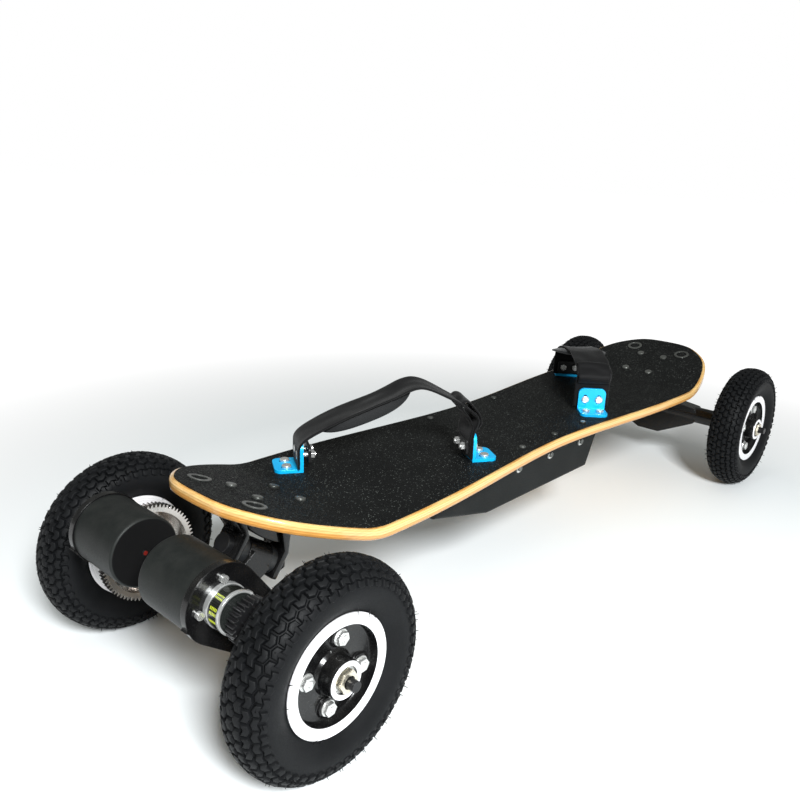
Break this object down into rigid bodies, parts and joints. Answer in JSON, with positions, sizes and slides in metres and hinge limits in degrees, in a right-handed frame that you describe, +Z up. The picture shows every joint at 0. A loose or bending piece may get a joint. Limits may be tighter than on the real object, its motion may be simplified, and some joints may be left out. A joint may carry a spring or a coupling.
{
  "type": "electric skateboard",
  "caption": "All-terrain electric skateboard: waisted maple deck with foot straps, sprung tilting trucks, pneumatic tyres, geared rear motors and an under-deck battery box.",
  "frame": {"origin": "centre of the footprint, on the ground under the tyres", "axes": "+X towards the nose, away from the motors; +Y to the left; +Z up"},
  "size_m": [1.16, 0.395, 0.2664],
  "materials": {
    "maple": "clear lacquered ply edge",
    "grip": "coarse black grit",
    "black_metal": "gloss black",
    "zinc_steel": "zinc plated",
    "polished_ring": "polished",
    "blue_anodised": "light blue anodised",
    "case": "charcoal satin",
    "tyre": "matte",
    "elastomer": "matte",
    "webbing": "woven nylon",
    "padding": "foam under knit fabric",
    "motor_shell": "satin dark grey",
    "gear_steel": "machined",
    "wrap": "printed film",
    "board_electronics": "shrink film"
  },
  "bodies": {
    "board": {"battery_box": "case", "battery_pack": "board_electronics", "box_clips": "black_metal", "box_gasket": "elastomer", "box_screws": "zinc_steel", "button_bezel": "black_metal", "charge_cap": "elastomer", "charge_port": "black_metal", "deck": "maple", "front_baseplate": "black_metal", "front_foot_strap": "webbing", "front_strap_pad": "padding", "grip_tape": "grip", "pivot_bolts": "zinc_steel", "rear_baseplate": "black_metal", "rear_foot_strap": "webbing", "rear_strap_pad": "padding", "speed_controller": "board_electronics", "strap_bolts": "zinc_steel", "strap_brackets": "blue_anodised", "strap_plates": "black_metal", "tip_rings": "zinc_steel", "truck_bolts": "zinc_steel", "truck_bushings": "elastomer"},
    "front_truck": {"front_hanger": "black_metal", "front_axle": "zinc_steel", "front_axle_nuts": "zinc_steel"},
    "rear_truck": {"rear_hanger": "black_metal", "rear_axle": "zinc_steel", "rear_axle_nuts": "zinc_steel", "left_motor_mount": "black_metal", "right_motor_mount": "black_metal", "left_motor_can": "motor_shell", "right_motor_can": "motor_shell", "motor_cores": "gear_steel", "left_gearhead": "zinc_steel", "right_gearhead": "zinc_steel", "gearhead_sleeves": "wrap", "motor_screws": "zinc_steel"},
    "power_button": {"power_button": "black_metal"},
    "left_pinion": {"left_pinion": "gear_steel"},
    "right_pinion": {"right_pinion": "gear_steel"},
    "front_left_wheel": {"front_left_tyre": "tyre", "front_left_hub": "polished_ring", "front_left_bearings": "zinc_steel", "front_left_hub_bolts": "zinc_steel"},
    "front_right_wheel": {"front_right_tyre": "tyre", "front_right_hub": "polished_ring", "front_right_bearings": "zinc_steel", "front_right_hub_bolts": "zinc_steel"},
    "rear_left_wheel": {"rear_left_tyre": "tyre", "rear_left_hub": "polished_ring", "rear_left_bearings": "zinc_steel", "rear_left_hub_bolts": "zinc_steel", "rear_left_drive_gear": "gear_steel"},
    "rear_right_wheel": {"rear_right_tyre": "tyre", "rear_right_hub": "polished_ring", "rear_right_bearings": "zinc_steel", "rear_right_hub_bolts": "zinc_steel", "rear_right_drive_gear": "gear_steel"}
  },
  "joints": [
    {"name": "front_steering", "type": "hinge", "parent": "board", "child": "front_truck", "pos_m": [0.437, 0, 0.13], "axis": [0.8192, 0, 0.5736], "range_deg": [-15, 15], "stiffness_Nm_per_rad": 90},
    {"name": "rear_steering", "type": "hinge", "parent": "board", "child": "rear_truck", "pos_m": [-0.437, 0, 0.13], "axis": [-0.8192, 0, 0.5736], "range_deg": [-15, 15], "stiffness_Nm_per_rad": 90},
    {"name": "power_button_press", "type": "slide", "parent": "board", "child": "power_button", "axis": [0, -1, 0], "range_m": [0, 0.0015], "stiffness_N_per_m": 600},
    {"name": "front_left_wheel_spin", "type": "hinge", "parent": "front_truck", "child": "front_left_wheel", "pos_m": [0.48, 0.16, 0.1], "axis": [0, 1, 0], "continuous": true},
    {"name": "front_right_wheel_spin", "type": "hinge", "parent": "front_truck", "child": "front_right_wheel", "pos_m": [0.48, -0.16, 0.1], "axis": [0, 1, 0], "continuous": true},
    {"name": "rear_left_wheel_spin", "type": "hinge", "parent": "rear_truck", "child": "rear_left_wheel", "pos_m": [-0.48, 0.16, 0.1], "axis": [0, 1, 0], "continuous": true},
    {"name": "rear_right_wheel_spin", "type": "hinge", "parent": "rear_truck", "child": "rear_right_wheel", "pos_m": [-0.48, -0.16, 0.1], "axis": [0, 1, 0], "continuous": true},
    {"name": "left_pinion_spin", "type": "hinge", "parent": "rear_truck", "child": "left_pinion", "pos_m": [-0.53091, 0.124, 0.15091], "axis": [0, 1, 0], "continuous": true},
    {"name": "right_pinion_spin", "type": "hinge", "parent": "rear_truck", "child": "right_pinion", "pos_m": [-0.53091, -0.124, 0.15091], "axis": [0, 1, 0], "continuous": true}
  ],
  "couplings": [
    {"joint": "left_pinion_spin", "follows": "rear_left_wheel_spin", "ratio": -2.6923},
    {"joint": "right_pinion_spin", "follows": "rear_right_wheel_spin", "ratio": -2.6923}
  ]
}
